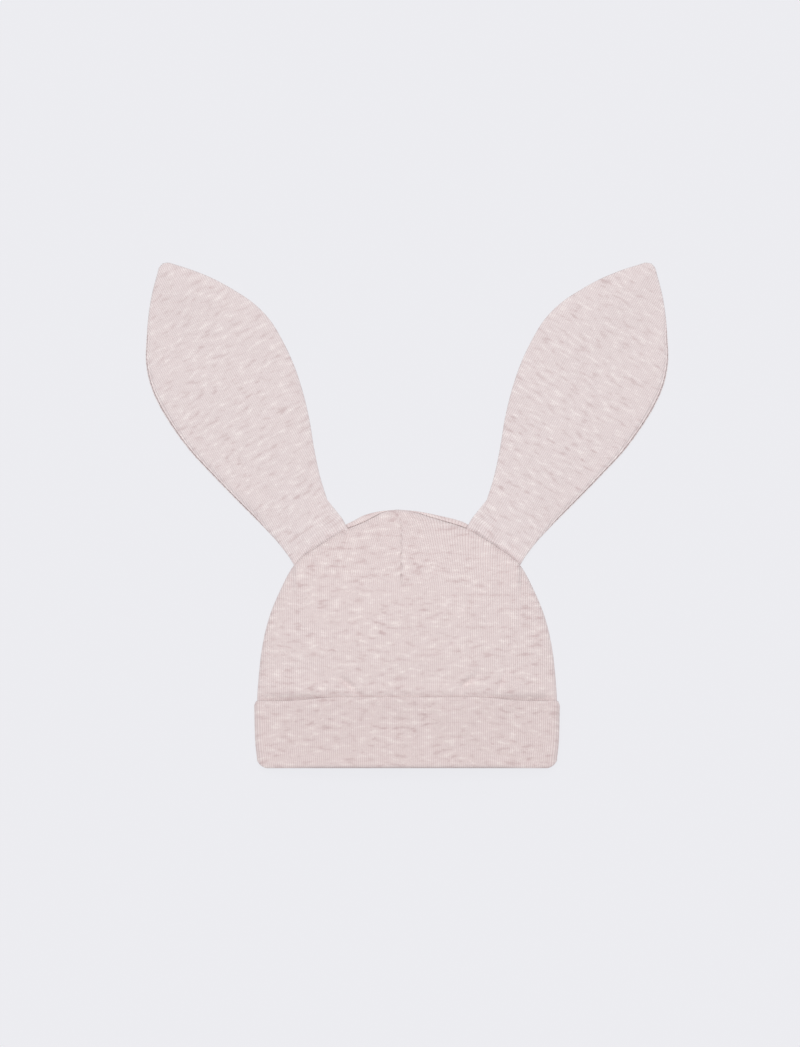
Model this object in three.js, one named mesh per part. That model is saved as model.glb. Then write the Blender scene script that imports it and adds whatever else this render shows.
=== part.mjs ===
// A newborn's rib-knit hat with a turned-up cuff and two long rabbit ears, lying flat on its back.
// Millimetres. +X is to the right of the hat's front, +Y from the mouth to the ear tips, +Z up from the surface.
// Two crown panels meet in one seam that runs up one side, over the top and down the other. The ears are
// two-ply and are caught in that seam. The cuff is the crown's own cloth, folded at the mouth and turned up.
// "up" is the distance from the mouth along +Y, and "inset" the distance in from the seam's outline.
import * as THREE from "three";

// Cloth: the crown and the cuff are double rib knit, and each ear panel is one thick ply.
const CLOTH = 1.5;
const EAR_CLOTH = 1.2;
const GAP = 0.3;
const CUFF_LIFT = CLOTH + GAP;

// Half of the flat crown's width at distances up from the mouth, to the crown's top.
const CROWN_OUTLINE = [
  { up: -3, half: 78.8 },
  { up: 4, half: 79.1 },
  { up: 15, half: 80.2 },
  { up: 30, half: 80.6 },
  { up: 42, half: 80.6 },
  { up: 64, half: 78.4 },
  { up: 82, half: 74.2 },
  { up: 97, half: 68.0 },
  { up: 107, half: 62.8 },
  { up: 112.5, half: 58.2 },
  { up: 118.3, half: 50.4 },
  { up: 124, half: 41.4 },
  { up: 129.6, half: 32.8 },
  { up: 134.4, half: 25.0 },
  { up: 138.2, half: 14.6 },
  { up: 139.6, half: 0 },
];
const CROWN_TOP = CROWN_OUTLINE.at(-1).up;

// Heights above the surface that the hat lies on.
const SEAM_HEIGHT = 2.6;
const MOUTH_RISE = 16.4;
const CROWN_RISE = 22.4;
const FRONT_ROLL = 2.4;
const BACK_ROLL = 2.6;
const EDGE_HEIGHT = 2.3;
const BULGE_REACH = 60;
const RIM_SPREAD = 0.12;

// The cuff: its front fold lies a little above the back one, and its front edge arches over the forehead.
const FRONT_FOLD = 1.8;
const CUFF_SIDE = 36.8;
const CUFF_ARCH = 2.4;
const BACK_CUFF = 36.8;
const FOLD_RETURN = 2;
const CORNER_RADIUS = 3.4;

// The dart that shapes the top of the front panel.
const DART_START = 97;
const DART_SHIFT = -3.2;
const DART_DEPTH = 1.1;
const DART_HALF = 3;

// Each ear: half-widths on its inner and outer side at distances along its axis from its base.
const EAR_SECTIONS = [
  { along: -5, inner: 17.0, outer: 17.2 },
  { along: 3, inner: 16.4, outer: 17.4 },
  { along: 10, inner: 14.9, outer: 18.5 },
  { along: 18, inner: 15.9, outer: 20.6 },
  { along: 30, inner: 18.3, outer: 24.2 },
  { along: 45, inner: 22.9, outer: 28.4 },
  { along: 60, inner: 28.3, outer: 32.4 },
  { along: 75, inner: 32.5, outer: 36.1 },
  { along: 90, inner: 35.3, outer: 38.2 },
  { along: 105, inner: 36.3, outer: 38.9 },
  { along: 118, inner: 35.6, outer: 37.6 },
  { along: 130, inner: 32.1, outer: 33.6 },
  { along: 141, inner: 26.4, outer: 27.0 },
  { along: 151, inner: 20.1, outer: 20.3 },
  { along: 160, inner: 13.0, outer: 13.2 },
  { along: 167.5, inner: 5.6, outer: 5.6 },
  { along: 171.5, inner: 1.2, outer: 1.2 },
];
const EAR_BASE_ACROSS = 48.3;
const EAR_BASE_UP = 122.3;
const EAR_ANGLE = THREE.MathUtils.degToRad(29.1);
const EAR_BASE_SKEW = 0.14;
const EAR_PUFF = 3.4;
const EAR_BULGE_REACH = 20;
const EAR_SEAM_RAISE = 1.2;
const EAR_CURL = 2.4;
const EAR_TIP_LIFT = 2.2;
const EAR_THICKNESS = 2 * EAR_CLOTH + GAP;

const COLOURS = { crown: 0xdecfcd, cuff: 0xdccccb, ear: 0xe2d5d4 };

// A number that goes smoothly from 0 at `from` to 1 at `to`.
function ramp(from, to, value) {
  const share = THREE.MathUtils.clamp((value - from) / (to - from), 0, 1);
  return share * share * (3 - 2 * share);
}

// Quarter-round rise from 0 at the outline to 1 at `radius` in from it.
function quarterRound(inset, radius) {
  const left = 1 - Math.min(Math.max(inset, 0) / radius, 1);
  return Math.sqrt(1 - left * left);
}

// Pillow rise: steep by the outline and flat past `reach`.
function bulge(inset, reach) {
  const left = 1 - Math.min(Math.max(inset, 0) / reach, 1);
  return 1 - left * left;
}

// A smooth curve through [a, b] pairs, as evenly spaced pairs.
function smoothLine(pairs, count) {
  const curve = new THREE.CatmullRomCurve3(pairs.map(([a, b]) => new THREE.Vector3(a, b, 0)));
  return curve.getPoints(count).map((point) => [point.x, point.y]);
}

// b at a, on a line of [a, b] pairs whose a only grows.
function valueAt(line, a) {
  const last = line.length - 2;
  const index = Math.min(Math.max(line.findIndex((pair) => pair[0] > a) - 1, 0), last);
  const start = a >= line.at(-1)[0] ? last : index;
  const [a0, b0] = line[start];
  const [a1, b1] = line[start + 1];
  const share = THREE.MathUtils.clamp((a - a0) / (a1 - a0), 0, 1);
  return b0 + (b1 - b0) * share;
}

// Distance from a point to the nearest piece of an open line of [x, y] pairs.
function distanceTo(line, x, y) {
  let best = Infinity;
  for (let i = 1; i < line.length; i += 1) {
    const [ax, ay] = line[i - 1];
    const dx = line[i][0] - ax;
    const dy = line[i][1] - ay;
    const along = ((x - ax) * dx + (y - ay) * dy) / (dx * dx + dy * dy);
    const share = THREE.MathUtils.clamp(along, 0, 1);
    best = Math.min(best, Math.hypot(x - ax - share * dx, y - ay - share * dy));
  }
  return best;
}

// Outward normal of the surface z = height(x, y), with side +1 for the top face and -1 for the underside.
function normalOf(height, x, y, side) {
  const step = 0.01;
  const slopeX = (height(x + step, y) - height(x - step, y)) / (2 * step);
  const slopeY = (height(x, y + step) - height(x, y - step)) / (2 * step);
  return new THREE.Vector3(-slopeX * side, -slopeY * side, side).normalize();
}

// A closed geometry from a ring of profile points for each column, with both end columns capped.
function sweep(columns, outwardSign) {
  const positions = columns.flat().flatMap((point) => point.toArray());
  const size = columns[0].length;
  const faces = [];
  const addTriangle = (a, b, c) => {
    const corners = [a, b, c].map((i) => new THREE.Vector3().fromArray(positions, 3 * i));
    const flat = corners.some((corner, i) => corner.distanceTo(corners[(i + 1) % 3]) < 1e-4);
    if (!flat) faces.push(...(outwardSign > 0 ? [a, c, b] : [a, b, c]));
  };
  for (let i = 0; i + 1 < columns.length; i += 1) {
    for (let j = 0; j < size; j += 1) {
      const here = i * size + j;
      const next = i * size + ((j + 1) % size);
      addTriangle(here, next, next + size);
      addTriangle(here, next + size, here + size);
    }
  }
  const cap = (start, reversed) => {
    const ring = Array.from({ length: size }, (_, j) => start + j);
    const bottom = ring.slice(0, size / 2);
    const top = ring.slice(size / 2).reverse();
    for (let j = 0; j + 1 < size / 2; j += 1) {
      const quad = [bottom[j], top[j], top[j + 1], bottom[j + 1]];
      const [a, b, c, d] = reversed ? quad.reverse() : quad;
      addTriangle(a, b, c);
      addTriangle(a, c, d);
    }
  };
  cap(0, false);
  cap((columns.length - 1) * size, true);
  const geometry = new THREE.BufferGeometry();
  geometry.setAttribute("position", new THREE.Float32BufferAttribute(positions, 3));
  geometry.setIndex(faces);
  geometry.computeVertexNormals();
  return geometry;
}

// A sheet of cloth of even thickness under a grid of plan points: each column goes out along one face and
// comes back along the other.
function sheet(plan, height, thickness, side) {
  const columns = plan.map((line) => {
    const outside = line.map(([x, y]) => new THREE.Vector3(x, y, height(x, y)));
    const inside = line.map(([x, y], i) => {
      return outside[i].clone().addScaledVector(normalOf(height, x, y, side), -thickness);
    });
    return [...outside, ...inside.reverse()];
  });
  return sweep(columns, side);
}

// ---- Crown panels ----

const crownSide = smoothLine(CROWN_OUTLINE.map(({ up, half }) => [up, half]), 160);
const crownSeam = [
  ...crownSide.map(([up, half]) => [-half, up]),
  ...crownSide.slice(0, -1).reverse().map(([up, half]) => [half, up]),
];

const insetOf = (x, up) => {
  const inside = Math.abs(x) <= valueAt(crownSide, up) && up <= CROWN_TOP;
  return inside ? distanceTo(crownSeam, x, up) : 0;
};

// 1 where the cuff lies under or over the crown, and 0 above it.
const cuffShare = (up) => 1 - ramp(40, 55, up);

// 1 where an ear is caught in the seam, fading in from the outline.
function earShare(x, up, inset) {
  const across = ramp(25, 31, Math.abs(x)) * (1 - ramp(64, 70, Math.abs(x)));
  return across * ramp(92, 102, up) * Math.exp(-((inset / 9) ** 2));
}

function seamHeight(x, up, inset) {
  return SEAM_HEIGHT + CUFF_LIFT * cuffShare(up) + EAR_SEAM_RAISE * earShare(x, up, inset);
}

// Half the space between the two panels' rims: wide enough for an ear where one is caught in the seam.
const seamGap = (x, up, inset) => {
  return GAP / 2 + RIM_SPREAD * cuffShare(up) + ((EAR_THICKNESS + GAP) / 2) * earShare(x, up, inset);
};

function frontHeight(x, up) {
  const inset = insetOf(x, up);
  const rim = seamHeight(x, up, inset) + seamGap(x, up, inset);
  const rise = MOUTH_RISE + (CROWN_RISE - MOUTH_RISE) * ramp(0, 62, up);
  const puff = (rise - rim - EDGE_HEIGHT) * bulge(inset, BULGE_REACH);
  return rim + EDGE_HEIGHT * quarterRound(inset, FRONT_ROLL) + puff;
}

// The dart's line swings a little off the middle as it climbs.
const dartLine = (up) => DART_SHIFT * ramp(45, CROWN_TOP, up);

// The dart's crease, and the dip and swell where the crown comes out of the cuff at each side.
function crownFolds(x, up) {
  const inset = insetOf(x, up);
  const beside = Math.max(0, 1 - Math.abs(x - dartLine(up)) / DART_HALF);
  const crease = DART_DEPTH * beside * ramp(DART_START - 4, DART_START + 8, up);
  const bySide = ramp(28, 58, Math.abs(x));
  const dip = 1.5 * Math.exp(-(((up - 40) / 2.6) ** 2));
  const swell = 1.0 * Math.exp(-(((up - 50) / 5.5) ** 2));
  return (bySide * (swell - dip) - crease) * bulge(inset, 12);
}

const crownFrontHeight = (x, up) => frontHeight(x, up) + crownFolds(x, up);

function backHeight(x, up) {
  const inset = insetOf(x, up);
  const rim = seamHeight(x, up, inset) - seamGap(x, up, inset);
  const floor = CUFF_LIFT * cuffShare(up);
  return rim - (rim - floor) * quarterRound(inset, BACK_ROLL);
}

// Shares of the half-width, close together by the seams where the cloth rolls over, and beside the dart.
function acrossShares(count, beside) {
  const even = Array.from({ length: count + 1 }, (_, i) => Math.sin(Math.PI * (i / count - 0.5)));
  return [...even, -beside, beside].sort((a, b) => a - b);
}

// Where a line across the flat hat starts above the mouth, so that the mouth's corners are round.
function mouthLine(share, half, fold) {
  const past = Math.max(0, Math.abs(share) * half - (half - CORNER_RADIUS));
  return fold + CORNER_RADIUS - Math.sqrt(Math.max(0, CORNER_RADIUS ** 2 - past ** 2));
}

// Plan points of a crown panel: a column for each share across, and a row for each distance up.
function crownPlan(shares, rows, fold) {
  return shares.map((share) =>
    rows.map((row, i) => {
      const start = mouthLine(share, valueAt(crownSide, 0), fold + FOLD_RETURN + GAP);
      const up = i === 0 ? start : Math.max(row, start + i);
      const half = up >= CROWN_TOP ? 0 : valueAt(crownSide, up);
      const towardsDart = (1 - share * share) * Math.min(1, half / 25);
      return [share * half + dartLine(up) * towardsDart, up];
    }),
  );
}

const FRONT_ROWS = [
  0, 18, 35, 40, 44, 50, 58, 70, 82, 90, 98, 106, 112, 118, 124, 129, 133, 136, 138.2, 139.3, CROWN_TOP,
];
const BACK_ROWS = [0, 18, 36, 44, 50, 56, 75, 92, 106, 115, 123, 130, 135, 138, 139.2, CROWN_TOP];
const FOLD_RADIUS = CLOTH + GAP / 2;
const frontFoldLine = FRONT_FOLD + FOLD_RADIUS;
const backFoldLine = FOLD_RADIUS;

function crownFront() {
  const plan = crownPlan(acrossShares(32, 0.035), FRONT_ROWS, frontFoldLine);
  return sheet(plan, crownFrontHeight, CLOTH, 1);
}

function crownBack() {
  const plan = crownPlan(acrossShares(22, 0.035), BACK_ROWS, backFoldLine);
  return sheet(plan, backHeight, CLOTH, -1);
}

// ---- Cuff ----

const frontCuffTop = (x) => CUFF_SIDE + CUFF_ARCH * (1 - ramp(34, 66, Math.abs(x)));

// The cuff's section as [up, offset from the crown's outer face]: the turned-up wall, the fold round the
// mouth, and the short end that meets the crown's wall.
function cuffSection(fold, top) {
  const middle = GAP / 2;
  const arc = (radius, angles) =>
    angles.map((degrees) => {
      const angle = THREE.MathUtils.degToRad(degrees);
      return [fold - radius * Math.cos(angle), middle + radius * Math.sin(angle)];
    });
  const wall = [0.97, 0.7, 0.45, 0.2].map((share) => [fold + (top - fold) * share, CUFF_LIFT]);
  const lining = [0.2, 0.45, 0.7].map((share) => [fold + (top - fold) * share, GAP]);
  return [
    [top, CUFF_LIFT - CLOTH / 2],
    ...wall,
    ...arc(FOLD_RADIUS, [90, 55, 20, -20, -55, -90]),
    [fold + FOLD_RETURN, -CLOTH],
    [fold + FOLD_RETURN, 0],
    ...arc(GAP / 2, [-90, 0, 90]),
    ...lining,
    [top - 1, GAP],
  ];
}

// The cuff's section swept from one side seam to the other, over the front or under the back.
function cuff(shares, height, side, foldAt, topAt) {
  const columns = shares.map((share) => {
    const half = valueAt(crownSide, 0);
    const fold = mouthLine(share, half, foldAt);
    return cuffSection(fold, topAt(share * half)).map(([up, offset]) => {
      const x = share * valueAt(crownSide, Math.max(up, 0));
      const base = new THREE.Vector3(x, up, height(x, up));
      return base.addScaledVector(normalOf(height, x * (1 - 1e-4), up, side), offset);
    });
  });
  return sweep(columns, -side);
}

const cuffFront = () => cuff(acrossShares(30, 0.06), frontHeight, 1, frontFoldLine, frontCuffTop);
const cuffBack = () => cuff(acrossShares(22, 0.06), backHeight, -1, backFoldLine, () => BACK_CUFF);

// ---- Ears ----

const earInner = smoothLine(EAR_SECTIONS.map(({ along, inner }) => [along, inner]), 120);
const earOuter = smoothLine(EAR_SECTIONS.map(({ along, outer }) => [along, -outer]), 120);
const earSeam = [...earInner, ...earOuter.slice().reverse()];
const EAR_LENGTH = EAR_SECTIONS.at(-1).along;

// How far the ear's underside is off the surface: it comes down from the crown's seam, and its outer edge
// and its tip curl up a little. "side" is the distance from the ear's axis, towards the other ear.
function earLift(along, side) {
  const base = SEAM_HEIGHT + EAR_SEAM_RAISE - EAR_THICKNESS / 2;
  const outer = -valueAt(earOuter, along);
  const alongEdge = ramp(15, 45, along) * (1 - ramp(135, 160, along));
  const curl = EAR_CURL * ramp(0.45, 1.05, -side / outer) * alongEdge;
  return base * (1 - ramp(2, 28, along)) + curl + EAR_TIP_LIFT * ramp(130, EAR_LENGTH, along);
}

const earInset = (along, side) => distanceTo(earSeam, along, side);

function earFrontHeight(along, side) {
  const puff = EAR_PUFF * bulge(earInset(along, side), EAR_BULGE_REACH) * ramp(-2, 30, along);
  return earLift(along, side) + EAR_THICKNESS + puff;
}

// An ear panel in the ear's own frame: "side" is X and "along" is Y, before it is placed on the crown.
function earPanel(mirror, face) {
  const shares = [-1, -0.95, -0.78, -0.52, -0.26, 0, 0.26, 0.52, 0.78, 0.95, 1];
  const rows = EAR_SECTIONS.map(({ along }) => along);
  const plan = shares.map((share) =>
    rows.map((along) => {
      const edge = share < 0 ? -valueAt(earOuter, along) : valueAt(earInner, along);
      return [share * edge, along];
    }),
  );
  const top = (side, along) => earFrontHeight(along, side);
  const underside = (side, along) => earLift(along, side);
  const geometry = face > 0 ? sheet(plan, top, EAR_CLOTH, 1) : sheet(plan, underside, EAR_CLOTH, -1);
  const skew = geometry.getAttribute("position");
  for (let i = 0; i < skew.count; i += 1) {
    const shift = EAR_BASE_SKEW * skew.getX(i) * (1 - ramp(0, 30, skew.getY(i)));
    skew.setXYZ(i, skew.getX(i) * mirror, skew.getY(i) + shift, skew.getZ(i));
  }
  if (mirror < 0) geometry.setIndex(Array.from(geometry.index.array).reverse());
  geometry.rotateZ(mirror * EAR_ANGLE);
  geometry.translate(-mirror * EAR_BASE_ACROSS, EAR_BASE_UP, 0);
  return geometry;
}

// ---- Assembly ----

function named(name, geometry, colour) {
  const material = new THREE.MeshStandardMaterial({ color: colour, roughness: 0.95, metalness: 0 });
  const mesh = new THREE.Mesh(geometry, material);
  mesh.name = name;
  return mesh;
}

const LEFT = 1;
const RIGHT = -1;
const hat = new THREE.Group();
hat.add(
  named("crown_front", crownFront(), COLOURS.crown),
  named("crown_back", crownBack(), COLOURS.crown),
  named("cuff_front", cuffFront(), COLOURS.cuff),
  named("cuff_back", cuffBack(), COLOURS.cuff),
  named("ear_left_front", earPanel(LEFT, 1), COLOURS.ear),
  named("ear_left_back", earPanel(LEFT, -1), COLOURS.ear),
  named("ear_right_front", earPanel(RIGHT, 1), COLOURS.ear),
  named("ear_right_back", earPanel(RIGHT, -1), COLOURS.ear),
);

// The origin is on the surface, under the middle of the hat's outline.
const bounds = new THREE.Box3().setFromObject(hat);
hat.position.set(0, -(bounds.min.y + bounds.max.y) / 2, 0);

export default hat;
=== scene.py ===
import math

import bpy
import numpy as np
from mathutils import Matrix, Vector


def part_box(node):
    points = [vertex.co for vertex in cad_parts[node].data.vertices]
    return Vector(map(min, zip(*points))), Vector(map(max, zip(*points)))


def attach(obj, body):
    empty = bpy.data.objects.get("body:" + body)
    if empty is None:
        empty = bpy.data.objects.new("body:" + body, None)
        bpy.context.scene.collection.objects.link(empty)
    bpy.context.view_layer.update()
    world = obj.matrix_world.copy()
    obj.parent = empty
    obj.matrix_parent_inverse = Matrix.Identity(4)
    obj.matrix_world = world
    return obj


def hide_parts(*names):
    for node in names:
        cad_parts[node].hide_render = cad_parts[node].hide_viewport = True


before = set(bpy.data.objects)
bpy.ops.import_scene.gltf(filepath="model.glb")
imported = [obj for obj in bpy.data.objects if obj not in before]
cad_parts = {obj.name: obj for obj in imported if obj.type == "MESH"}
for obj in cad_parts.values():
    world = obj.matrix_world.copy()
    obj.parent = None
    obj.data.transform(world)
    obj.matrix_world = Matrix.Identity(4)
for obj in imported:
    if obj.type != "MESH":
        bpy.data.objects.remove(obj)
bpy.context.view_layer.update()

# ---- Crown front ----
# The front half of the hat's body: double one-by-one rib jersey in flecked pale pink cotton, cut with its
# ribs upright, shaped at the top by one dart, and sewn to the back panel from one side over to the other.

# Lengths in this file are millimetres. "up" is measured from the mouth towards the top of the crown.
MM = 0.001
MOUTH_PAST = 0.1  # how far the mouth is past the lowest edge of the plain cuff
MOUTH_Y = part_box("cuff_back")[0].y / MM - MOUTH_PAST

# The knit: rib to rib, loop to loop, how far ribs stand out on each face, and the doubled cloth.
WALE = 1.1
COURSE = 0.85
RIB_DEPTH = 0.3
INNER_RIB = 0.18
RIB_PLACES = np.array([0.0, 0.24, 0.5, 0.76])
CLOTH = 1.5
GAP = 0.3
CUFF_LIFT = CLOTH + GAP
SEAM_PINCH = 0.45

# Half of the crown's width at distances up from the mouth, to its top.
FRONT_OUTLINE = [
    # up, half
    (-3, 78.8),
    (4, 79.1),
    (15, 80.2),
    (30, 80.6),
    (42, 80.6),
    (64, 78.4),
    (82, 74.2),
    (97, 68.0),
    (107, 62.8),
    (112.5, 58.2),
    (118.3, 50.4),
    (124, 41.4),
    (128.6, 33.8),
    (131.0, 27.8),
    (133.2, 21.6),
    (135.7, 15.0),
    (138.3, 8.0),
    (139.6, 0),
]
OUTLINE_STEPS = 14

# Heights above the surface, and how far in from the seam the panel rounds over and swells.
SEAM_HEIGHT = 2.6
EAR_RAISE = 1.2
MOUTH_RISE = 16.4
CROWN_RISE = 22.4
FRONT_ROLL = 2.4
EDGE_HEIGHT = 2.3
BULGE_REACH = 60

# The dart: where it ends, how much cloth it takes in, and how it and the very top lie off the middle.
DART_START = 97.0
DART_TAKE = 9.0
DART_CURVE = 1.3
DART_SHIFT = -3.2
TOP_LEAN = -5.0


def ramp(start, end, value):
    share = np.clip((value - start) / (end - start), 0, 1)
    return share * share * (3 - 2 * share)


def smooth_line(points, steps):
    """A smooth curve through a short table of points, as many closely spaced ones."""
    p = np.array(points, float)
    p = np.vstack([2 * p[0] - p[1], p, 2 * p[-1] - p[-2]])
    t = np.linspace(0, 1, steps, endpoint=False)[:, None]
    runs = []
    for a, b, c, d in zip(p[:-3], p[1:-2], p[2:-1], p[3:]):
        runs.append(
            0.5 * (2 * b + (c - a) * t + (2 * a - 5 * b + 4 * c - d) * t**2)
            + 0.5 * (3 * b - a - 3 * c + d) * t**3
        )
    return np.vstack([*runs, p[-2]])


def distance_to(line, x, y):
    """Distance from each point to the nearest piece of an open line."""
    best = np.full(x.shape, 1e9)
    for (ax, ay), (bx, by) in zip(line[:-1], line[1:]):
        dx, dy = bx - ax, by - ay
        share = np.clip(((x - ax) * dx + (y - ay) * dy) / (dx * dx + dy * dy), 0, 1)
        best = np.minimum(best, np.hypot(x - ax - share * dx, y - ay - share * dy))
    return best


def quarter_round(inset, radius):
    left = 1 - np.clip(inset / radius, 0, 1)
    return np.sqrt(np.maximum(0, 1 - left * left))


def bulge(inset, reach):
    left = 1 - np.clip(inset / reach, 0, 1)
    return 1 - left * left


def slow_waves(x, y, size, seed):
    """Gentle unevenness of hand-laid cloth, mostly between -1 and 1, with hollows about size across."""
    rng = np.random.default_rng(seed)
    total = np.zeros(np.broadcast(x, y).shape)
    for _ in range(9):
        turn, phase = rng.uniform(0, math.tau, 2)
        pace = math.tau / (size * rng.uniform(0.8, 1.9))
        total += np.sin(pace * (x * math.cos(turn) + y * math.sin(turn)) + phase)
    return total / 4


def spaced_rows(low, high, density, count):
    """Places from low to high for each column, closer where density is higher."""
    steps = np.linspace(0, 1, 500)
    rows = low[:, None] + (high - low)[:, None] * steps
    weight = density(rows, low[:, None], high[:, None])
    total = np.cumsum((weight[:, 1:] + weight[:, :-1]) / 2, axis=1)
    total = np.hstack([np.zeros((len(low), 1)), total]) / total[:, -1:]
    wanted = np.linspace(0, 1, count)
    return np.array([np.interp(wanted, t, r) for r, t in zip(rows, total)])


def rib_columns(half_cloth):
    """Distances across the cloth, four to each rib: groove, flank, crest and flank."""
    ribs = int(half_cloth / WALE)
    across = (np.arange(-ribs, ribs)[:, None] + RIB_PLACES).ravel() * WALE
    return np.append(across, ribs * WALE), ribs * WALE


def rolled_inset(edge, radius):
    """Distance in from the seam, seen from above, of cloth that is edge in from it along its own face."""
    arc = radius * math.pi / 2
    return np.where(edge < arc, radius * (1 - np.cos(edge / radius)), edge - arc + radius)


def rib_relief(across):
    """Height of the rib at a distance across the cloth, 0 on its crest and -1 in the groove."""
    return -np.abs(np.cos(math.pi * across / WALE)) ** 2.2


def tangents(grid, axis):
    """Direction at each point towards its neighbours along an axis, mostly from the nearer of the two."""
    step = np.diff(grid, axis=axis)
    step = step / np.maximum(np.linalg.norm(step, axis=2, keepdims=True), 1e-6) ** 3
    first, last = np.take(step, [0], axis), np.take(step, [-1], axis)
    return np.concatenate([first, step], axis) + np.concatenate([step, last], axis)


def normals_of(grid):
    n = np.cross(tangents(grid, 0), tangents(grid, 1))
    return n / np.maximum(np.linalg.norm(n, axis=2, keepdims=True), 1e-9)


def sewn_cloth(name, face, ribs, fabric, thickness, side, zipped=None):
    """A closed panel behind a smooth grid of points on its outer face, with ribs raised on both faces.
    side is 1 if the outer face is up. zipped marks columns sewn to their mirror columns in the dart."""
    columns, rows = face.shape[:2]
    normal = normals_of(face) * side
    zipped = np.zeros(columns, bool) if zipped is None else zipped
    run = face[zipped, -1] - face[zipped, -2]
    upright = np.stack([0 * run[:, 0], -run[:, 2], run[:, 1]], -1) * side
    normal[zipped, -1] = upright / np.maximum(np.linalg.norm(upright, axis=1, keepdims=True), 1e-9)
    front = face + normal * (RIB_DEPTH * ribs)[..., None]
    back = face - normal * (thickness - INNER_RIB * (1 + ribs))[..., None]

    index = np.arange(columns * rows).reshape(columns, rows)
    mirror = np.arange(columns)[::-1]
    partner = zipped & (np.arange(columns) < columns // 2)
    index[partner, -1] = index[mirror[partner], -1]
    under = index + columns * rows

    a, b, c, d = index[:-1, :-1], index[1:, :-1], index[1:, 1:], index[:-1, 1:]
    front_faces = np.stack([a, b, c, d], -1).reshape(-1, 4)
    back_faces = (np.stack([a, d, c, b], -1) + columns * rows).reshape(-1, 4)

    top = [i for i in range(columns - 1, -1, -1) if not zipped[i]]
    if zipped.any():
        place = next(k for k, i in enumerate(top) if i < columns // 2)
        top.insert(place, int(np.flatnonzero(zipped)[0]))
    loop = [(i, 0) for i in range(columns)]
    loop += [(columns - 1, j) for j in range(1, rows - 1)]
    loop += [(i, rows - 1) for i in top]
    loop += [(0, j) for j in range(rows - 2, 0, -1)]
    li, lj = np.array(loop).T
    outer, inner = index[li, lj], under[li, lj]
    after = np.roll(np.arange(len(loop)), -1)
    rim = np.stack([outer[after], outer, inner, inner[after]], -1)
    faces = np.vstack([front_faces, back_faces, rim])
    if side < 0:
        faces = faces[:, ::-1]
    points = np.vstack([front.reshape(-1, 3), back.reshape(-1, 3)])
    flat = fabric.reshape(-1, 2)
    panel = mesh_piece(name, points, faces, np.vstack([flat, flat]))
    return panel


def mesh_piece(name, points, faces, fabric):
    """An object from points in millimetres above the mouth, with the cloth's flat coordinates as UVs."""
    used, packed = np.unique(faces, return_inverse=True)
    packed = packed.reshape(faces.shape)
    placed = (points[used] + [0, MOUTH_Y, 0]) * MM
    mesh = bpy.data.meshes.new(name)
    mesh.from_pydata(placed.tolist(), [], packed.tolist())
    layer = mesh.uv_layers.new(name="fabric")
    corners = np.zeros(len(mesh.loops), np.int32)
    mesh.loops.foreach_get("vertex_index", corners)
    layer.data.foreach_set("uv", fabric[used][corners].astype(np.float32).ravel())
    mesh.polygons.foreach_set("use_smooth", np.ones(len(mesh.polygons), bool))
    mesh.update()
    obj = bpy.data.objects.new(name, mesh)
    bpy.context.collection.objects.link(obj)
    return obj


front_side = smooth_line(FRONT_OUTLINE, OUTLINE_STEPS)
front_seam = front_side[:, ::-1]
CROWN_TOP = FRONT_OUTLINE[-1][0]
WIDEST = front_side[:, 1].max()

# Half of the gap between the crown's panels: along the body, under the cuff, and more where an ear goes in.
SEAM_GAP = 0.08
CUFF_SEAM_GAP = 0.05
EAR_SEAM_GAP = 1.5


def cuff_share(up):
    """1 where the body lies on the cuff, and 0 past it."""
    return 1 - ramp(40, 55, up)


def ear_share(x, up, inset):
    """1 at the seam where an ear goes in, and 0 away from it."""
    across = ramp(31.8, 35.2, np.abs(x)) * (1 - ramp(59.4, 62.2, np.abs(x)))
    return across * ramp(92, 102, up) * np.exp(-((inset / 9) ** 2))


def seam_height(x, up, inset):
    """Height of the line where the crown's front and back panels meet."""
    return SEAM_HEIGHT + CUFF_LIFT * cuff_share(up) + EAR_RAISE * ear_share(x, up, inset)


def seam_gap(x, up, inset):
    """Half of the gap between the two panels at that line."""
    at_cuff = (CUFF_SEAM_GAP - SEAM_GAP) * cuff_share(up)
    return SEAM_GAP + at_cuff + (EAR_SEAM_GAP - SEAM_GAP) * ear_share(x, up, inset)


def pinched(inset, thickness):
    """Cloth thickness, less where a seam pinches it."""
    return thickness * (1 - SEAM_PINCH * (1 - ramp(0, 2.5, inset)))


def dart_line(up):
    """How far the dart, and the ribs beside it, lie off the middle."""
    room = np.interp(up, *front_side.T)
    return DART_SHIFT * ramp(30, 110, up) * np.minimum(1, room / 25) ** 2


def top_lean(x, up):
    """How far the very top lies over to one side."""
    return TOP_LEAN * ramp(130, 140.5, up) * (1 - ramp(20, 32, np.abs(x)))


def crown_base(x, up):
    """The crown front's outer face before its folds, which the cuff lies on too."""
    inset = distance_to(front_seam, np.abs(x), up)
    inset = np.where(np.abs(x) > np.interp(up, *front_side.T), 0, inset)
    rim = seam_height(x, up, inset) + seam_gap(x, up, inset)
    rise = MOUTH_RISE + (CROWN_RISE - MOUTH_RISE) * ramp(0, 62, up)
    puff = (rise - rim - EDGE_HEIGHT) * bulge(inset, BULGE_REACH)
    return rim + EDGE_HEIGHT * quarter_round(inset, FRONT_ROLL) + puff, inset


# The dart's narrow stitched valley in its wider hollow.
VALLEY_DEPTH = 1.0
VALLEY_HALF = 0.5
HOLLOW_DEPTH = 0.3
HOLLOW_HALF = 4.0
DART_STITCH = 3.1

# Folds over the cuff's edge: the cloth swells above it and drops behind it.
SWELL = 0.7
DROP = 1.2
MIDDLE_SWELL = 0.8
DRAG_HALF = 1.5
DRAG_REACH = 5.5
DRAG_LINES = [
    # across, up, lean, depth
    (-31.5, 45.5, -0.88, 2.6),
    (-47.0, 47.0, -0.45, 0.7),
    (32.5, 46.5, 0.88, 2.2),
    (51.0, 47.5, 0.35, 0.8),
]

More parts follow.
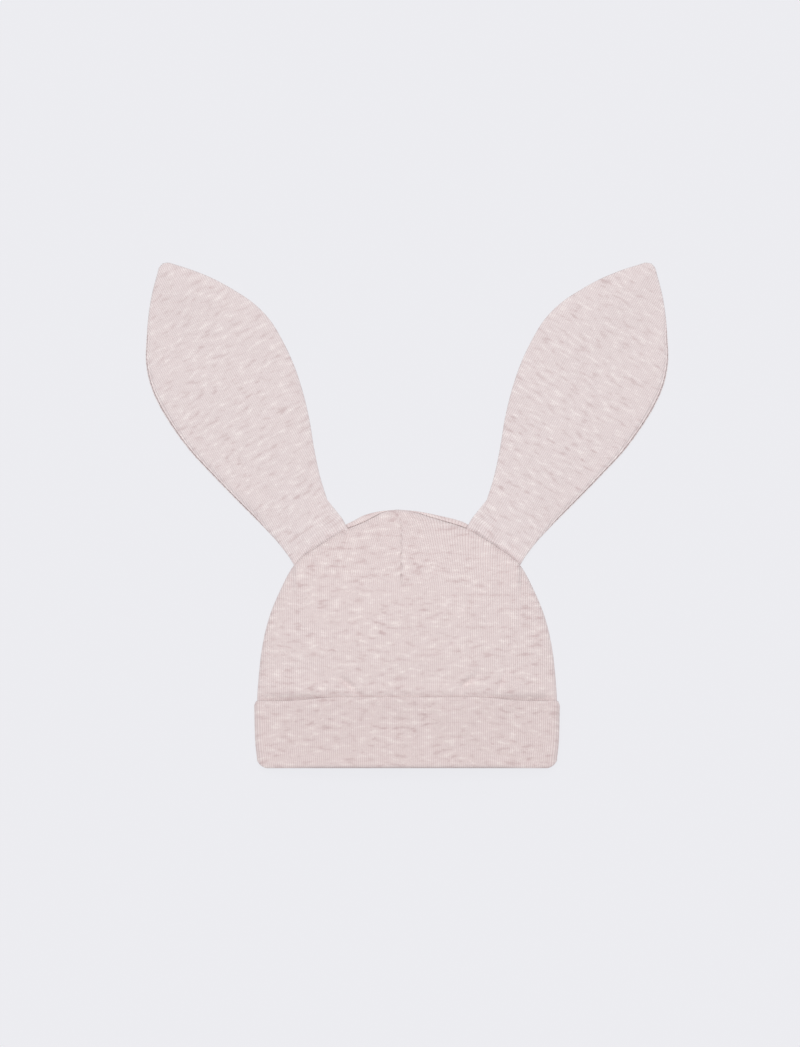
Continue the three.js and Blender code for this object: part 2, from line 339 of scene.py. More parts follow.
# Puckers along the seam, and unevenness of the whole panel, wide and fine.
PUCKER_RUN = 4.3
PUCKER_DEPTH = 0.16
SLOW_WAVE = 0.55
FINE_WAVE = 0.1


def crown_folds(x, up, inset):
    """What the sewing and the laying did: the dart's valley, the swell over the cuff, drag lines from the
    cuff's edge, the seam's small puckers, and slow unevenness."""
    beside = np.abs(x - dart_line(up))
    along = ramp(DART_START - 4, DART_START + 5, up)
    stitches = 0.7 + 0.3 * np.sin(math.tau * up / DART_STITCH)
    valley = along * VALLEY_DEPTH * np.exp(-((beside / VALLEY_HALF) ** 2)) * stitches
    valley += along * HOLLOW_DEPTH * np.exp(-((beside / HOLLOW_HALF) ** 2))

    by_side = ramp(42, 54, np.abs(x)) * (1 - 0.35 * ramp(70, 79, np.abs(x)))
    side_fold = SWELL * np.exp(-(((up - 44.5) / 5.0) ** 2)) - DROP * (1 - ramp(37.0, 41.2, up))
    middle_fold = MIDDLE_SWELL * np.exp(-(((up - 42.5) / 3.0) ** 2)) - 0.2 * (1 - ramp(37.5, 40.0, up))
    cuff_fold = by_side * side_fold + (1 - by_side) * middle_fold

    drags = 0
    for drag_x, drag_up, lean, depth in DRAG_LINES:
        away = (x - drag_x) * math.cos(lean) - (up - drag_up) * math.sin(lean)
        run = (x - drag_x) * math.sin(lean) + (up - drag_up) * math.cos(lean)
        drags = drags + depth * np.exp(-((away / DRAG_HALF) ** 2) - (run / DRAG_REACH) ** 2)

    pucker_run = np.where(up > 104, x, up)
    puckers = np.sin(math.tau * pucker_run / PUCKER_RUN + 1.3 * np.sin(pucker_run / 7.0))
    puckers *= PUCKER_DEPTH * np.exp(-((inset - 3.5) ** 2) / 9) * ramp(52, 62, up)
    slow = SLOW_WAVE * slow_waves(x, up, 46, 4) * ramp(4, 26, inset) * ramp(46, 62, up)
    fine = FINE_WAVE * slow_waves(x, up, 11, 9) * ramp(3, 8, inset)
    return (cuff_fold - drags - valley) * bulge(inset, 10) + puckers + slow + fine


def leaned(across, up):
    """How far from the middle a rib line is once the dart has drawn it in."""
    take = DART_TAKE * np.clip((up - DART_START) / (CROWN_TOP - DART_START), 0, 1) ** DART_CURVE
    return across - take * (1 - ramp(14, 62, across))


def crown_grid(outline, start_up, count, extra=0):
    """Points along each upright rib line of a crown panel. The last extra rows of a line that ends at the
    seam stay on the seam, to be rolled over it."""
    side = smooth_line(outline, OUTLINE_STEPS)
    widest = side[:, 1].max() - 0.01
    half_cloth = widest + FRONT_ROLL * (math.pi / 2 - 1)
    cloth, reach = rib_columns(half_cloth)
    across = np.maximum(widest - rolled_inset(half_cloth * (1 - np.abs(cloth) / reach), FRONT_ROLL), 0)
    zipped = across < DART_TAKE - 1e-6
    peak = int(np.argmax(side[:, 1]))
    low = np.full(across.shape, float(start_up))
    wide = across > np.interp(start_up, side[:, 0], side[:, 1])
    low[wide] = np.interp(across[wide], side[: peak + 1, 1], side[: peak + 1, 0])
    bottom, top = np.full(across.shape, side[peak, 0]), np.full(across.shape, float(CROWN_TOP))
    for _ in range(40):
        middle = (bottom + top) / 2
        inside = leaned(across, middle) < np.interp(middle, side[:, 0], side[:, 1])
        bottom, top = np.where(inside, middle, bottom), np.where(inside, top, middle)
    closed = np.minimum(across / DART_TAKE, 1) ** (1 / DART_CURVE)
    high = np.where(zipped, DART_START + (CROWN_TOP - DART_START) * closed, bottom)

    def density(up, first, last):
        near_end = 1 / (0.14 + 0.3 * (last - up)) + 0.5 / (0.3 + 0.4 * (up - first))
        return 0.36 + 0.75 * np.exp(-(((up - 44) / 8) ** 2)) + near_end

    ups = spaced_rows(low, high, density, count)
    ups = np.hstack([ups, np.repeat(ups[:, -1:], extra, 1)])
    ups[zipped] = spaced_rows(low, high, density, count + extra)[zipped]
    off = np.maximum(leaned(across[:, None], ups), 0)
    half = np.maximum(np.interp(ups, side[:, 0], side[:, 1]), 1e-6)
    sign = np.sign(cloth)[:, None]
    x = sign * off + dart_line(ups) * (1 - np.minimum(off / half, 1) ** 2)
    from_dart = np.maximum(ramp(0, 0.8, off), 1 - ramp(DART_START - 4, DART_START, ups))
    ribs = rib_relief(cloth)[:, None] * np.where(zipped[:, None], from_dart, 1)
    fabric = np.stack([np.repeat(cloth[:, None], count + extra, 1), ups], -1)
    return x, ups, fabric, zipped, ribs


# Where the panel begins above the mouth, inside the cuff, and how many rows of points it has.
FRONT_START = 5.0
FRONT_ROWS = 64

x, up, fabric, zipped, ribs = crown_grid(FRONT_OUTLINE, FRONT_START, FRONT_ROWS)
height, inset = crown_base(x, up)
face = np.stack([x + top_lean(x, up), up, height + crown_folds(x, up, inset)], -1)
ribs = ribs * ramp(0, 1.2, inset)
thickness = pinched(inset, CLOTH)
crown_front = sewn_cloth("crown_front_cloth", face, ribs, fabric, thickness, 1, zipped)


# The knit, shared by the whole hat. Its inputs are places on the flat cloth, in millimetres.
def socketed_group(name, inputs, outputs):
    group = bpy.data.node_groups.new(name, "ShaderNodeTree")
    for label, kind, value in inputs:
        made = group.interface.new_socket(label, in_out="INPUT", socket_type=kind)
        if value is not None:
            made.default_value = value
    for label, kind in outputs:
        group.interface.new_socket(label, in_out="OUTPUT", socket_type=kind)
    return group, group.nodes.new("NodeGroupInput"), group.nodes.new("NodeGroupOutput")


def add_math(tree, operation, *values):
    node = tree.nodes.new("ShaderNodeMath")
    node.operation = operation
    for socket, value in zip(node.inputs, values):
        if isinstance(value, (int, float)):
            socket.default_value = value
        else:
            tree.links.new(value, socket)
    return node.outputs[0]


def add_scaled(tree, vector, scale):
    node = tree.nodes.new("ShaderNodeVectorMath")
    node.operation = "MULTIPLY"
    tree.links.new(vector, node.inputs[0])
    node.inputs[1].default_value = scale
    return node.outputs[0]


def add_noise(tree, vector, scale, detail=2.0, roughness=0.5):
    node = tree.nodes.new("ShaderNodeTexNoise")
    node.noise_dimensions = "3D"
    tree.links.new(add_scaled(tree, vector, scale), node.inputs["Vector"])
    node.inputs["Scale"].default_value = 1.0
    node.inputs["Detail"].default_value = detail
    node.inputs["Roughness"].default_value = roughness
    return node.outputs["Fac"]


def add_range(tree, value, low, high, to_low=0.0, to_high=1.0):
    node = tree.nodes.new("ShaderNodeMapRange")
    node.interpolation_type = "SMOOTHSTEP"
    tree.links.new(value, node.inputs["Value"])
    for label, number in zip(("From Min", "From Max", "To Min", "To Max"), (low, high, to_low, to_high)):
        node.inputs[label].default_value = number
    return node.outputs[0]


def add_mix(tree, share, first, second):
    node = tree.nodes.new("ShaderNodeMix")
    node.data_type = "RGBA"
    for socket, value in zip((node.inputs[0], node.inputs[6], node.inputs[7]), (share, first, second)):
        if isinstance(value, (int, float, tuple)):
            socket.default_value = value
        else:
            tree.links.new(value, socket)
    return node.outputs[2]


# Loops of a one-by-one rib: each rib is a chain of V-shaped stitches, with a groove beside it. The Groove
# output marks that groove, and the knit material paints shade there.
rib_stitch, inside, outside = socketed_group(
    "rib stitch",
    [
        ("Cloth", "NodeSocketVector", None),
        ("Wale", "NodeSocketFloat", WALE),
        ("Course", "NodeSocketFloat", COURSE),
    ],
    [("Height", "NodeSocketFloat"), ("Groove", "NodeSocketFloat")],
)
split = rib_stitch.nodes.new("ShaderNodeSeparateXYZ")
rib_stitch.links.new(inside.outputs["Cloth"], split.inputs[0])
uneven_loops = add_noise(rib_stitch, inside.outputs["Cloth"], (0.25, 0.5, 1))
wander = add_math(rib_stitch, "MULTIPLY", uneven_loops, 0.3)
across_ribs = add_math(rib_stitch, "DIVIDE", split.outputs[0], inside.outputs["Wale"])
across_ribs = add_math(rib_stitch, "ADD", across_ribs, 0.5)
from_crest = add_math(rib_stitch, "SUBTRACT", add_math(rib_stitch, "FRACT", across_ribs), 0.5)
from_crest = add_math(rib_stitch, "ABSOLUTE", from_crest)
from_crest = add_math(rib_stitch, "SUBTRACT", 0.5, from_crest)
along_rib = add_math(rib_stitch, "DIVIDE", split.outputs[1], inside.outputs["Course"])
slanted = add_math(rib_stitch, "ADD", along_rib, add_math(rib_stitch, "MULTIPLY", from_crest, 1.1))
slanted = add_math(rib_stitch, "ADD", slanted, wander)
loop_wave = add_math(rib_stitch, "SINE", add_math(rib_stitch, "MULTIPLY", slanted, math.tau))
loops = add_math(rib_stitch, "MULTIPLY", add_math(rib_stitch, "ADD", loop_wave, 1), 0.5)
loops = add_math(rib_stitch, "MULTIPLY", loops, 0.55)
crest = add_math(rib_stitch, "MULTIPLY", add_range(rib_stitch, from_crest, 0.5, 0.08), 0.45)
height_out = add_math(rib_stitch, "ADD", loops, crest)
rib_stitch.links.new(height_out, outside.inputs["Height"])
rib_stitch.links.new(add_range(rib_stitch, from_crest, 0.27, 0.5), outside.inputs["Groove"])

# Flecked yarn: pale and dusky fibres spun together show as short streaks along each course.
flecked_yarn, inside, outside = socketed_group(
    "flecked yarn",
    [
        ("Cloth", "NodeSocketVector", None),
        ("Ground", "NodeSocketColor", (0.7, 0.6, 0.6, 1)),
        ("Pale", "NodeSocketColor", (0.85, 0.78, 0.74, 1)),
        ("Dusky", "NodeSocketColor", (0.5, 0.38, 0.38, 1)),
        ("Amount", "NodeSocketFloat", 1.0),
    ],
    [("Color", "NodeSocketColor"), ("Slub", "NodeSocketFloat")],
)
place = inside.outputs["Cloth"]
long_streaks = add_noise(flecked_yarn, place, (0.15, 0.4, 1), 2.0, 0.5)
short_streaks = add_noise(flecked_yarn, place, (0.36, 0.6, 1), 1.0, 0.5)
specks = add_noise(flecked_yarn, place, (0.6, 0.95, 1), 1.0, 0.5)
patches = add_noise(flecked_yarn, place, (0.035, 0.09, 1), 2.0, 0.5)
pale_share = add_range(flecked_yarn, long_streaks, 0.52, 0.76)
short_pale = add_math(flecked_yarn, "MULTIPLY", add_range(flecked_yarn, short_streaks, 0.58, 0.78), 0.6)
pale_share = add_math(flecked_yarn, "ADD", pale_share, short_pale)
pale_share = add_math(flecked_yarn, "MULTIPLY", pale_share, inside.outputs["Amount"])
dusky_share = add_range(flecked_yarn, long_streaks, 0.48, 0.26)
dusky_specks = add_math(flecked_yarn, "MULTIPLY", add_range(flecked_yarn, specks, 0.38, 0.2), 0.7)
dusky_share = add_math(flecked_yarn, "ADD", dusky_share, dusky_specks)
patchy = add_range(flecked_yarn, patches, 0.3, 0.7, 0.5, 1.0)
dusky_share = add_math(flecked_yarn, "MULTIPLY", dusky_share, patchy)
dusky_share = add_math(flecked_yarn, "MULTIPLY", dusky_share, inside.outputs["Amount"])
coloured = add_mix(flecked_yarn, pale_share, inside.outputs["Ground"], inside.outputs["Pale"])
coloured = add_mix(flecked_yarn, dusky_share, coloured, inside.outputs["Dusky"])
flecked_yarn.links.new(coloured, outside.inputs["Color"])
flecked_yarn.links.new(long_streaks, outside.inputs["Slub"])


def srgb(red, green, blue):
    tones = [c / 255 for c in (red, green, blue)]
    return (*[t / 12.92 if t <= 0.04045 else ((t + 0.055) / 1.055) ** 2.4 for t in tones], 1)


# How strongly the flecks show, how much shade is painted into the grooves between ribs, and the bump of the
# loops.
FLECKS = 0.68
GROOVE_PAINTED_SHADE = 0.56
LOOP_RELIEF = 0.00025
LOOP_STRENGTH = 0.4


def knit_material(name, ground, pale, dusky_fleck_and_painted_shade):
    material = bpy.data.materials.new(name)
    material.use_nodes = True
    tree = material.node_tree
    shader = tree.nodes["Principled BSDF"]
    cloth_map = tree.nodes.new("ShaderNodeUVMap")
    cloth_map.uv_map = "fabric"
    yarn = tree.nodes.new("ShaderNodeGroup")
    yarn.node_tree = flecked_yarn
    stitch = tree.nodes.new("ShaderNodeGroup")
    stitch.node_tree = rib_stitch
    for group in (yarn, stitch):
        tree.links.new(cloth_map.outputs[0], group.inputs["Cloth"])
    yarn.inputs["Ground"].default_value = ground
    yarn.inputs["Pale"].default_value = pale
    yarn.inputs["Dusky"].default_value = dusky_fleck_and_painted_shade
    yarn.inputs["Amount"].default_value = FLECKS
    # Painted shade: the colour is darkened towards the dusky fleck colour in each rib groove, standing in
    # for the shade that falls between the ribs.
    groove_painted_shade = add_math(tree, "MULTIPLY", stitch.outputs["Groove"], GROOVE_PAINTED_SHADE)
    colour_with_painted_shade = add_mix(tree, groove_painted_shade, yarn.outputs["Color"], dusky_fleck_and_painted_shade)
    tree.links.new(colour_with_painted_shade, shader.inputs["Base Color"])
    bump = tree.nodes.new("ShaderNodeBump")
    bump.inputs["Distance"].default_value = LOOP_RELIEF
    bump.inputs["Strength"].default_value = LOOP_STRENGTH
    relief = add_math(tree, "ADD", stitch.outputs["Height"], yarn.outputs["Slub"])
    tree.links.new(relief, bump.inputs["Height"])
    tree.links.new(bump.outputs[0], shader.inputs["Normal"])
    shader.inputs["Roughness"].default_value = 0.92
    shader.inputs["Specular IOR Level"].default_value = 0.2
    shader.inputs["Sheen Weight"].default_value = 0.25
    shader.inputs["Sheen Roughness"].default_value = 0.6
    shader.inputs["Sheen Tint"].default_value = (1.0, 0.96, 0.95, 1)
    return material


crown_knit = knit_material("crown knit", srgb(226, 212, 211), srgb(245, 235, 232), srgb(196, 172, 172))
crown_front.data.materials.append(crown_knit)
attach(crown_front, "root")
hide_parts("crown_front")

# ---- Crown back ----
# The back half of the body, in the same doubled jersey. It lies flat on the surface, steps up over the
# turned-up cuff, and its edge rolls up to the seam, a little past the front panel between the ears.

BACK_OUTLINE = [
    *FRONT_OUTLINE[:11],
    # up, half
    (124, 41.8),
    (127.6, 37.8),
    (131.2, 33.4),
    (133.6, 28.6),
    (135.7, 22.6),
    (137.5, 16.0),
    (138.8, 9.0),
    (139.6, 0),
]
BACK_ROLL = 2.6
BACK_START = 3.0
BACK_ROWS = 44
BACK_RIBS = 0.7
OFF_SURFACE = 0.02

# The rolled edge past the front panel: its rows, how far it turns, the least that it shows, the place on the
# middle line that it turns in towards, and how far the panel sags beside it.
ROLL_ROWS = 6
ROLL_TURN = math.radians(105)
ROLL_LEAST = 0.3
ROLL_CENTRE = 75
LAP_SAG = 0.25

back_seam = smooth_line(BACK_OUTLINE, OUTLINE_STEPS)[:, ::-1]


def back_lap(x, up):
    """How far the back panel shows past the front one at the seam."""
    return distance_to(front_seam, np.abs(x), up) * ramp(108, 116, up)


def back_base(x, up):
    """The crown back's outer face, which the back of the cuff lies under too."""
    inset = distance_to(back_seam, np.abs(x), up)
    inset = np.where(np.abs(x) > np.interp(up, back_seam[:, 1], back_seam[:, 0]), 0, inset)
    rim = seam_height(x, up, inset) - seam_gap(x, up, inset) - 0.7 * ear_share(x, up, inset)
    floor = CUFF_LIFT * cuff_share(up)
    return rim - (rim - floor) * quarter_round(inset, BACK_ROLL), inset


x, up, fabric, zipped, ribs = crown_grid(BACK_OUTLINE, BACK_START, BACK_ROWS, ROLL_ROWS)
height, inset = back_base(x, up)
ribs = ribs * BACK_RIBS * ramp(0, 1.2, inset)
thickness = pinched(inset, CLOTH)
lap = back_lap(x[:, -1], up[:, -1])
height = height - LAP_SAG * lap[:, None] * np.exp(-((inset / 3) ** 2)) * ~zipped[:, None]
face = np.stack([x, up, np.maximum(height, OFF_SURFACE)], -1)
inward = np.stack([-x[:, -1], ROLL_CENTRE - up[:, -1]], -1)
inward /= np.linalg.norm(inward, axis=1, keepdims=True)
past_front = np.maximum(lap, ROLL_LEAST)
for step in range(1, ROLL_ROWS + 1):
    turn = ROLL_TURN * step / ROLL_ROWS
    row = BACK_ROWS - 1 + step
    rolled = face[:, BACK_ROWS - 1].copy()
    rolled[:, :2] += inward * (past_front * (1 - math.cos(turn)) / (1 - math.cos(ROLL_TURN)))[:, None]
    rolled[:, 2] += 0.5 * past_front * math.sin(turn)
    face[~zipped, row] = rolled[~zipped]
    thickness[~zipped, row] *= 1 - 0.4 * step / ROLL_ROWS
    fabric[~zipped, row, 1] += (0.4 * past_front * step)[~zipped]
face[..., 0] += top_lean(face[..., 0], face[..., 1])
crown_back = sewn_cloth("crown_back_cloth", face, ribs, fabric, thickness, -1, zipped)
crown_back.data.materials.append(crown_knit)
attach(crown_back, "root")
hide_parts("crown_back")

# ---- Cuff ----
# The body's own cloth carried on, folded at the mouth and turned up outside, so it shows the jersey's
# other face. Its front edge arches over the forehead, and its front fold lies just short of the back one.

FRONT_FOLD = 1.1
FOLD_DIP = 0.7
CUFF_SIDE = 36.8
CUFF_ARCH = 2.4
BACK_CUFF = 36.8
FOLD_RETURN = 2.0
CORNER_RADIUS = 3.4
TOP_CORNER = 2.4
FOLD_RADIUS = CLOTH + GAP / 2
CUFF_ROWS = 34

# The rounded top edge: how far down its places are, and how far in the first two are.
LIP_DOWN = (0.3, 0.9, 2.0)
LIP_IN = (0.6, 0.3)

# The flecks of each panel start this far along from the last one's, so no two panels show the same ones.
FLECKS_APART = 100


def mouth_line(across, half, fold_at):
    """How far up the fold is at a place across the mouth, with a rounded corner at each side."""
    past = np.maximum(0, np.abs(across) - (half - CORNER_RADIUS))
    return fold_at(across) + CORNER_RADIUS - np.sqrt(np.maximum(0, CORNER_RADIUS**2 - past**2))


def cuff_ring(fold, top, wall):
    """One column's closed section, as distance up and distance out from the crown's outer face."""
    middle = GAP / 2
    down = np.linspace(1, 0, wall)
    lip, below_lip, wall_top = (top - drop for drop in LIP_DOWN)
    out_up = [lip, below_lip, *(fold + (wall_top - fold) * down[:-1])]
    out_off = [CUFF_LIFT - LIP_IN[0], CUFF_LIFT - LIP_IN[1], *([CUFF_LIFT] * (wall - 1))]
    turn = np.radians(np.linspace(90, -90, 13))
    fold_up = list(fold - FOLD_RADIUS * np.cos(turn))
    fold_off = list(middle + FOLD_RADIUS * np.sin(turn))
    end_up = [fold + FOLD_RETURN, fold + FOLD_RETURN, fold]
    end_off = [-CLOTH, 0.0, 0.0]
    back = np.linspace(0, 1, wall // 3)
    in_up = list(fold + 0.1 + (below_lip - fold) * back)
    in_off = [GAP] * len(back)
    lip_up, lip_off = [lip, top], [GAP + 0.32, CUFF_LIFT - CLOTH / 2]
    ups = [*out_up, *fold_up, *end_up, *in_up, *lip_up]
    offs = [*out_off, *fold_off, *end_off, *in_off, *lip_off]
    return np.array(ups), np.array(offs)


def cuff_piece(name, base, side, fold_at, top_at, seed):
    """Half of the cuff, laid on a crown panel's base. side is 1 for the front half, which faces up."""
    half = float(np.interp(0, *front_side.T))
    cloth, reach = rib_columns(WIDEST + FRONT_ROLL * (math.pi / 2 - 1))
    half_cloth = half + FRONT_ROLL * (math.pi / 2 - 1)
    edge = half_cloth * (1 - np.abs(cloth) / reach)
    share = np.sign(cloth) * np.clip(1 - rolled_inset(edge, FRONT_ROLL) / half, 0, 1)
    corner = TOP_CORNER * (1 - quarter_round(edge, TOP_CORNER + 1.2))
    rings = [
        cuff_ring(float(mouth_line(s * half, half, fold_at)), float(top_at(s * half) - low), CUFF_ROWS)
        for s, low in zip(share, corner)
    ]
    ups, offs = np.array([r[0] for r in rings]), np.array([r[1] for r in rings])
    x = share[:, None] * np.interp(np.maximum(ups, 0), *front_side.T)
    step = 0.02

    def surface(px, py):
        return base(px, np.maximum(py, 0))[0]

    near = x * (1 - 2e-4)
    slope_x = (surface(near + step, ups) - surface(near - step, ups)) / (2 * step)
    slope_y = (surface(near, ups + step) - surface(near, ups - step)) / (2 * step)
    normal = np.stack([-slope_x * side, -slope_y * side, np.full(x.shape, float(side))], -1)
    normal /= np.linalg.norm(normal, axis=2, keepdims=True)
    outer = offs > CUFF_LIFT - LIP_IN[0] + 0.05
    relief = RIB_DEPTH * rib_relief(cloth)[:, None] * outer
    uneven = 0.28 * slow_waves(x, ups, 30, seed) + 0.12 * slow_waves(x, ups, 9, seed + 1)
    uneven = uneven * ramp(0, 10, ups) * (side > 0)
    points = np.stack([x, ups, surface(x, ups)], -1)
    points += normal * (offs + relief)[..., None]
    points[..., 2] += uneven * ramp(0, 12, half - np.abs(x))
    if side < 0:
        points[..., 2] = np.maximum(points[..., 2], 0.0)
    columns, size = x.shape
    index = np.arange(columns * size).reshape(columns, size)
    after = np.roll(index, -1, 1)
    faces = np.stack([index[:-1], index[1:], after[1:], after[:-1]], -1).reshape(-1, 4)
    faces = faces if side < 0 else faces[:, ::-1]
    caps = []
    for column, turned in ((0, side > 0), (columns - 1, side < 0)):
        ring = index[column]
        for k in range(1, size // 2):
            quad = [ring[k - 1], ring[k], ring[size - k - 1], ring[size - k]]
            caps.append(quad if turned else quad[::-1])
    along_up = np.diff(ups, axis=1, prepend=ups[:, :1])
    along_out = np.diff(offs, axis=1, prepend=offs[:, :1])
    run = np.cumsum(np.hypot(along_up, along_out), axis=1)
    fabric = np.stack([np.repeat(cloth[:, None], size, 1), FLECKS_APART * (3 + seed) + run], -1)
    faces = np.vstack([faces, np.array(caps)])
    cuff = mesh_piece(name, points.reshape(-1, 3), faces, fabric.reshape(-1, 2))
    return cuff


def front_fold(across):
    return FOLD_RADIUS + FRONT_FOLD - FOLD_DIP * ramp(44, 68, np.abs(across))


def back_fold(across):
    return FOLD_RADIUS


def front_cuff_top(across):
    return CUFF_SIDE + CUFF_ARCH * (1 - ramp(34, 66, np.abs(across)))


def back_cuff_top(across):
    return BACK_CUFF


cuff_front = cuff_piece("cuff_front_cloth", crown_base, 1, front_fold, front_cuff_top, 2)
cuff_back = cuff_piece("cuff_back_cloth", back_base, -1, back_fold, back_cuff_top, 3)
cuff_knit = knit_material("cuff knit", srgb(224, 209, 208), srgb(242, 232, 229), srgb(192, 168, 168))
for piece, node in ((cuff_front, "cuff_front"), (cuff_back, "cuff_back")):
    piece.data.materials.append(cuff_knit)
    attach(piece, "root")
    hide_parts(node)

# ---- Ears ----
# Each ear is two long leaf-shaped panels of the same jersey, ribs along the ear, sewn together round the
# edge, turned out, and caught in the crown's seam at its narrow base, where the cloth is a little gathered.

EAR_CLOTH = 1.2
EAR_SECTIONS = [
    # along, inner, outer
    (-5, 15.0, 17.0),
    (3, 15.0, 17.5),
    (12, 15.0, 19.0),
    (18, 15.9, 20.6),
    (30, 18.3, 24.2),
    (45, 22.9, 28.4),
    (60, 28.3, 32.4),
    (75, 32.5, 36.1),
    (90, 35.3, 38.2),
    (105, 36.3, 38.9),
    (118, 35.6, 37.6),
    (130, 32.1, 33.6),
    (141, 26.4, 27.0),
    (151, 20.1, 20.3),
    (160, 13.0, 13.2),
    (167.5, 6.0, 6.0),
    (170.6, 2.9, 2.9),
    (171.7, 0.0, 0.0),
]
EAR_BASE = (48.3, 122.3)
EAR_ANGLE = math.radians(29.1)
EAR_SKEW = 0.14
EAR_PUFF = 3.4
EAR_THICKNESS = 2 * EAR_CLOTH + GAP
EAR_ROLL = 1.5
SEAM_DIP = 0.35
SET_IN = 0.85
BASE_REACH = 14
EAR_FLARE = 0.17
EAR_ROWS = 84
EAR_STEPS = 12
EAR_LENGTH = EAR_SECTIONS[-1][0]

# Small valleys where the base is gathered: place across the ear, half width, depth, and reach along it.
GATHERS = [
    # place, wide, deep, reach
    (11.0, 1.8, 0.55, 24),
    (6.5, 2.2, 0.75, 34),
    (0.5, 2.6, 0.4, 26),
    (-8.5, 2.4, 0.45, 30),
]


def ear_lift(along, side, outer):
    """How far the ear's underside is off the surface: at its base, its curled outer edge and its tip."""
    base = SEAM_HEIGHT + EAR_RAISE - EAR_THICKNESS / 2
    edges = ramp(15, 45, along) * (1 - ramp(135, 160, along))
    curl = 2.4 * ramp(0.45, 1.05, -side / np.maximum(outer, 1)) * edges
    return base * (1 - ramp(2, 28, along)) + curl + 2.2 * ramp(130, EAR_LENGTH, along)


def ear_flare(along):
    """How much the inner side widens where it is gathered into the crown's seam."""
    return 1 + EAR_FLARE * (1 - ramp(1.5, 9, along))


def flared(side, along):
    """Distance across the ear from its middle line, with the inner side's widening."""
    return side[:, None] * np.where(side[:, None] > 0, ear_flare(along), 1)


def ear_place(across, along, mirror):
    """Where a place on the ear lies on the surface, in the crown's coordinates."""
    px = across * mirror
    py = along + EAR_SKEW * across * (1 - ramp(0, 30, along))
    c, s = math.cos(EAR_ANGLE * mirror), math.sin(EAR_ANGLE * mirror)
    return px * c - py * s - mirror * EAR_BASE[0], px * s + py * c + EAR_BASE[1]


def ear_panel(name, mirror, top, seed):
    """One panel of an ear. mirror is 1 for the ear at -X. top is True for the panel that faces up."""
    table = np.array(EAR_SECTIONS)
    columns, lines = [], []
    for width, sign in ((2, -1), (1, 1)):
        line = smooth_line(table[:, [0, width]], EAR_STEPS)
        widest = line[:, 1].max() - 0.01
        half_cloth = widest + EAR_ROLL * (math.pi / 2 - 1)
        cloth, reach = rib_columns(half_cloth)
        cloth = cloth[cloth > 0] if sign > 0 else cloth[cloth <= 0]
        side = np.maximum(widest - rolled_inset(half_cloth * (1 - np.abs(cloth) / reach), EAR_ROLL), 0)
        near_base = line[:, 0] < 40
        foot = side[side >= line[near_base, 1].min()].min()
        line[near_base, 1] = np.maximum(line[near_base, 1], foot)
        first, peak = int(np.argmax(line[:, 1] > foot)), int(np.argmax(line[:, 1]))
        start = np.full(side.shape, EAR_SECTIONS[0][0], float)
        wide = side > foot
        start[wide] = np.interp(side[wide], line[first - 1 : peak, 1], line[first - 1 : peak, 0])
        end = np.interp(-side, -line[peak:, 1], line[peak:, 0])
        columns.append((cloth, sign * side, start, end))
        lines.append(line)
    cloth, side, start, end = (np.concatenate(part) for part in zip(*columns))
    outer, inner = lines
    inner_edge = np.stack([inner[:, 0], inner[:, 1] * ear_flare(inner[:, 0])], -1)
    edge_line = np.vstack([inner_edge, (outer * [1, -1])[::-1][1:]])

    trial = np.linspace(EAR_SECTIONS[0][0], 25, 121)
    trial_x, trial_up = ear_place(flared(side, trial), trial, mirror)
    covered = np.abs(trial_x) < np.interp(trial_up, *front_side.T)
    crossing = trial[np.where(covered, np.arange(len(trial)), 0).max(axis=1)]
    crossing = np.maximum(crossing, start)[:, None]
    above_base = np.minimum(np.maximum(BASE_REACH, start + 2), start + 0.3 * (end - start))

    def base_density(along, first, last):
        return 0.5 + 3.0 * np.exp(-(((along - crossing) / 1.3) ** 2))

    def leaf_density(along, first, last):
        return 0.4 + 1 / (0.2 + 0.35 * (last - along))

    base_rows = spaced_rows(start, above_base, base_density, EAR_ROWS // 4)
    leaf_rows = spaced_rows(above_base, end, leaf_density, EAR_ROWS - EAR_ROWS // 4 + 1)
    along = np.hstack([base_rows, leaf_rows[:, 1:]])
    outer_here = np.interp(along, *outer.T)
    across = flared(side, along)
    inset = distance_to(edge_line, along, across)
    lift = ear_lift(along, across, outer_here)
    world_x, world_up = ear_place(across, along, mirror)
    from_seam = distance_to(front_seam, np.abs(world_x), world_up)
    lift = lift - SEAM_DIP * np.exp(-((from_seam / 0.7) ** 2))
    if top:
        set_in = SET_IN * ramp(8, 32, along) * (1 - ramp(140, 154, along)) * (across < 0)
        across = across * (1 - set_in / np.maximum(outer_here, 1))
        inset = np.maximum(inset - set_in, 0)
        puff = EAR_PUFF * bulge(inset, 20) * ramp(-2, 30, along)
        roll = (EAR_CLOTH - 0.1) * (quarter_round(inset, EAR_ROLL) - 1)
        gather = sum(
            deep * np.exp(-(((across - place) / wide) ** 2)) * (1 - ramp(6, reach, along))
            for place, wide, deep, reach in GATHERS
        )
        slow = 0.5 * slow_waves(along, across, 42, seed) + 0.12 * slow_waves(along, across, 10, seed + 7)
        height = lift + EAR_THICKNESS + puff + roll + (slow - gather) * bulge(inset, 9)
        height += 0.6 * set_in * np.exp(-((inset / 4) ** 2))
        face_side = 1
    else:
        height = lift + (EAR_CLOTH - 0.1) * (1 - quarter_round(inset, EAR_ROLL))
        height = np.maximum(height, OFF_SURFACE)
        face_side = -1
    px, py = ear_place(across, along, mirror)
    face = np.stack([px, py, height], -1)
    ribs = rib_relief(cloth)[:, None] * ramp(0, 1.2, inset) * 0.75
    fabric = np.stack([np.repeat(cloth[:, None], EAR_ROWS, 1), along + FLECKS_APART * seed], -1)
    if mirror < 0:
        face, fabric, ribs, inset = face[::-1], fabric[::-1], ribs[::-1], inset[::-1]
    return sewn_cloth(name, face, ribs, fabric, pinched(inset, EAR_CLOTH), face_side)


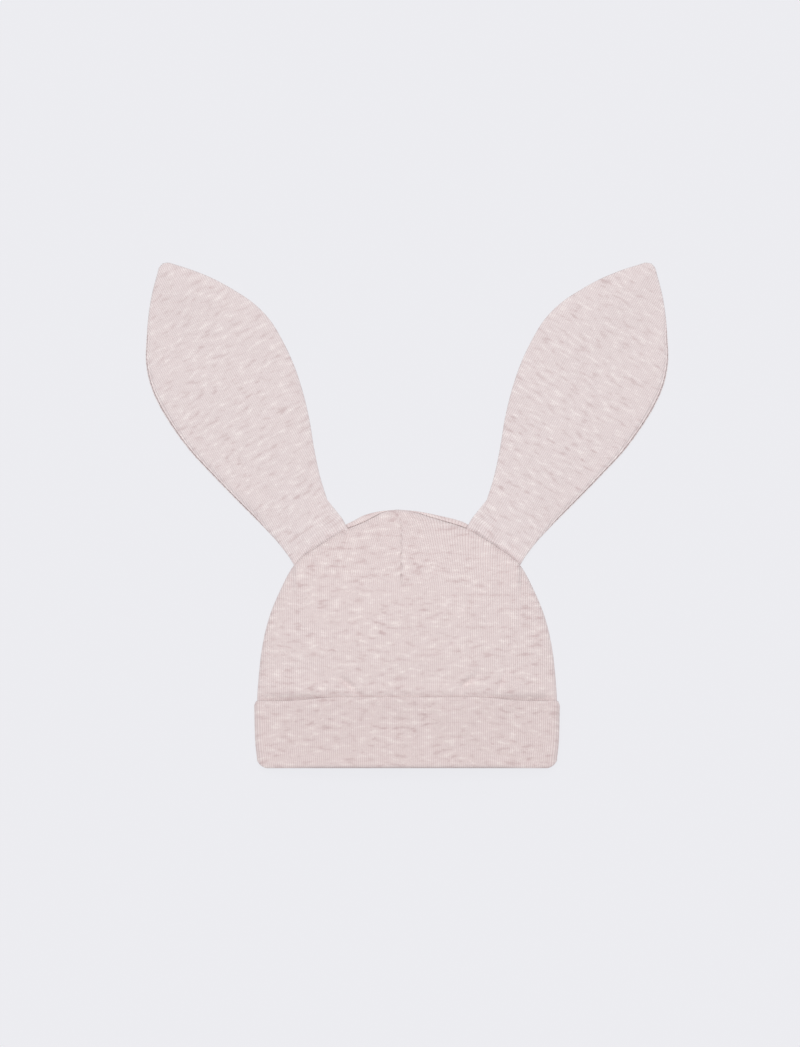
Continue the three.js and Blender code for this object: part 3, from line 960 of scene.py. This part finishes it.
ear_knit = knit_material("ear knit", srgb(227, 215, 215), srgb(245, 237, 235), srgb(199, 179, 179))
for node, mirror, top, under, seed in (
    ("ear_left_front", 1, True, "ear_left_back", 11),
    ("ear_left_back", 1, False, "crown_back", 12),
    ("ear_right_front", -1, True, "ear_right_back", 13),
    ("ear_right_back", -1, False, "crown_back", 14),
):
    piece = ear_panel(node + "_cloth", mirror, top, seed)
    piece.data.materials.append(ear_knit)
    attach(piece, "root")
    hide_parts(node)

# ---- Floor, light and camera ----
# A plain pale table top, soft light from a wide overhead panel towards the ears' end, and a camera
# looking straight down.

FLOOR_GLOW = 0.785
ROOM_STRENGTH = 0.5
PANEL_STRENGTH = 1.8
PANEL_WIDTH = math.radians(40)
PANEL_LEAN = (math.radians(-12), math.radians(-2), 0)
LENS = 200
SENSOR = 36
VIEW_HEIGHT = 0.5654
VIEW_CENTRE = (-0.0038, -0.0044)

bpy.ops.mesh.primitive_plane_add(size=6, location=(0, 0, 0))
floor = bpy.context.object
floor.name = "floor"
pale = bpy.data.materials.new("pale table top")
pale.use_nodes = True
surface = pale.node_tree.nodes["Principled BSDF"]
surface.inputs["Base Color"].default_value = (0.05, 0.05, 0.052, 1)
surface.inputs["Emission Color"].default_value = (1.0, 1.0, 1.04, 1)
surface.inputs["Emission Strength"].default_value = FLOOR_GLOW
surface.inputs["Roughness"].default_value = 0.9
surface.inputs["Specular IOR Level"].default_value = 0.1
floor.data.materials.append(pale)

world = bpy.data.worlds.new("soft room")
bpy.context.scene.world = world
world.use_nodes = True
world.node_tree.nodes["Background"].inputs["Color"].default_value = (1, 1, 1, 1)
world.node_tree.nodes["Background"].inputs["Strength"].default_value = ROOM_STRENGTH

key = bpy.data.lights.new("overhead panel", "SUN")
key.energy = PANEL_STRENGTH
key.angle = PANEL_WIDTH
key_object = bpy.data.objects.new("overhead panel", key)
key_object.rotation_euler = PANEL_LEAN
bpy.context.collection.objects.link(key_object)

camera_data = bpy.data.cameras.new("camera")
camera_data.lens = LENS
camera_data.sensor_width = SENSOR
camera = bpy.data.objects.new("camera", camera_data)
camera.location = (*VIEW_CENTRE, VIEW_HEIGHT * LENS / SENSOR)
camera_data.clip_end = 20
bpy.context.collection.objects.link(camera)
bpy.context.scene.camera = camera
bpy.context.scene.view_settings.view_transform = "Standard"
